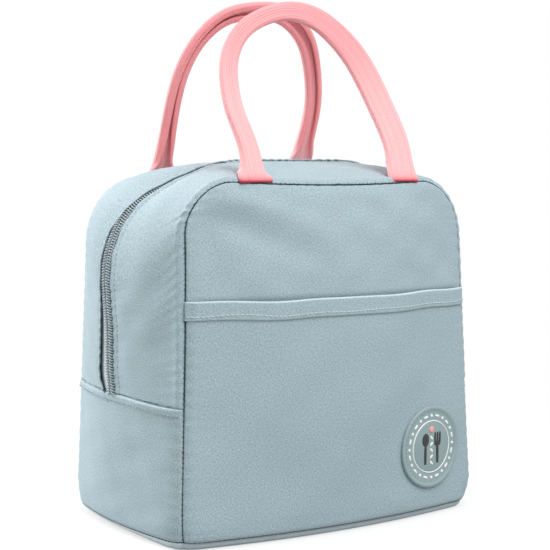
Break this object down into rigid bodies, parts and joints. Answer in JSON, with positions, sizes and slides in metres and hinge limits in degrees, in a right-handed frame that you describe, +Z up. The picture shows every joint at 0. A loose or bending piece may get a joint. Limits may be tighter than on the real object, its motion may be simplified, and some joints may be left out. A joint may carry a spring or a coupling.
{
  "type": "lunch bag",
  "caption": "Soft insulated lunch bag with a wide arched zip, a front slip pocket with a round badge and folded webbing carry handles.",
  "frame": {"origin": "on the floor, at the centre of the flat base", "axes": "+Z up; +X to the wearer's right along the front as seen from the front; +Y from the pocket front to the back"},
  "size_m": [0.2376, 0.1669, 0.3305],
  "materials": {
    "canvas": "pale grey-blue plain-weave polyester",
    "foam": "white closed-cell foam sheet",
    "lining": "aluminised film",
    "zip_tape": "woven tape",
    "zip_coil": "nylon coil",
    "slider_metal": "satin enamel",
    "badge_rubber": "matt moulded rubber",
    "badge_face_rubber": "matt moulded rubber",
    "webbing": "ribbed coral webbing"
  },
  "bodies": {
    "tub": {"bottom_panel": "canvas", "bottom_foam": "foam", "bottom_lining": "lining", "left_side_panel": "canvas", "left_side_foam": "foam", "left_side_lining": "lining", "right_side_panel": "canvas", "right_side_foam": "foam", "right_side_lining": "lining", "front_panel_lower": "canvas", "front_foam_lower": "foam", "front_lining_lower": "lining", "back_panel": "canvas", "back_foam": "foam", "back_lining": "lining", "back_gusset": "canvas", "back_gusset_foam": "foam", "back_gusset_lining": "lining", "zip_tape_back": "zip_tape", "zip_coil_back": "zip_coil", "pocket_panel_lower": "canvas", "badge": "badge_rubber", "badge_face": "badge_face_rubber"},
    "front_half": {"front_panel_upper": "canvas", "front_foam_upper": "foam", "front_lining_upper": "lining", "pocket_panel_upper": "canvas", "pocket_band": "canvas", "front_gusset": "canvas", "front_gusset_foam": "foam", "front_gusset_lining": "lining", "zip_tape_front": "zip_tape", "zip_coil_front": "zip_coil"},
    "front_handle": {"front_handle": "webbing"},
    "back_handle": {"back_handle": "webbing"},
    "slider": {"zip_slider": "slider_metal"},
    "pull": {"zip_pull": "slider_metal"}
  },
  "joints": [
    {"name": "mouth_fold", "type": "hinge", "parent": "tub", "child": "front_half", "pos_m": [0, -0.0803, 0.082], "axis": [1, 0, 0], "range_deg": [0, 30], "deforming": ["zip_coil_front"]},
    {"name": "front_handle_swing", "type": "hinge", "parent": "front_half", "child": "front_handle", "pos_m": [0, -0.07143, 0.21326], "axis": [1, 0, 0], "range_deg": [-10, 180]},
    {"name": "back_handle_swing", "type": "hinge", "parent": "tub", "child": "back_handle", "pos_m": [0, 0.07189, 0.21309], "axis": [-1, 0, 0], "range_deg": [-10, 180]},
    {"name": "slider_slide", "type": "slide", "parent": "tub", "child": "slider", "axis": [0.0379, 0, 0.9993], "range_m": [0, 0.058], "deforming": ["zip_coil_back"]},
    {"name": "pull_swing", "type": "hinge", "parent": "slider", "child": "pull", "pos_m": [0.11767, 0, 0.09517], "axis": [0, -1, 0], "range_deg": [0, 130]}
  ]
}
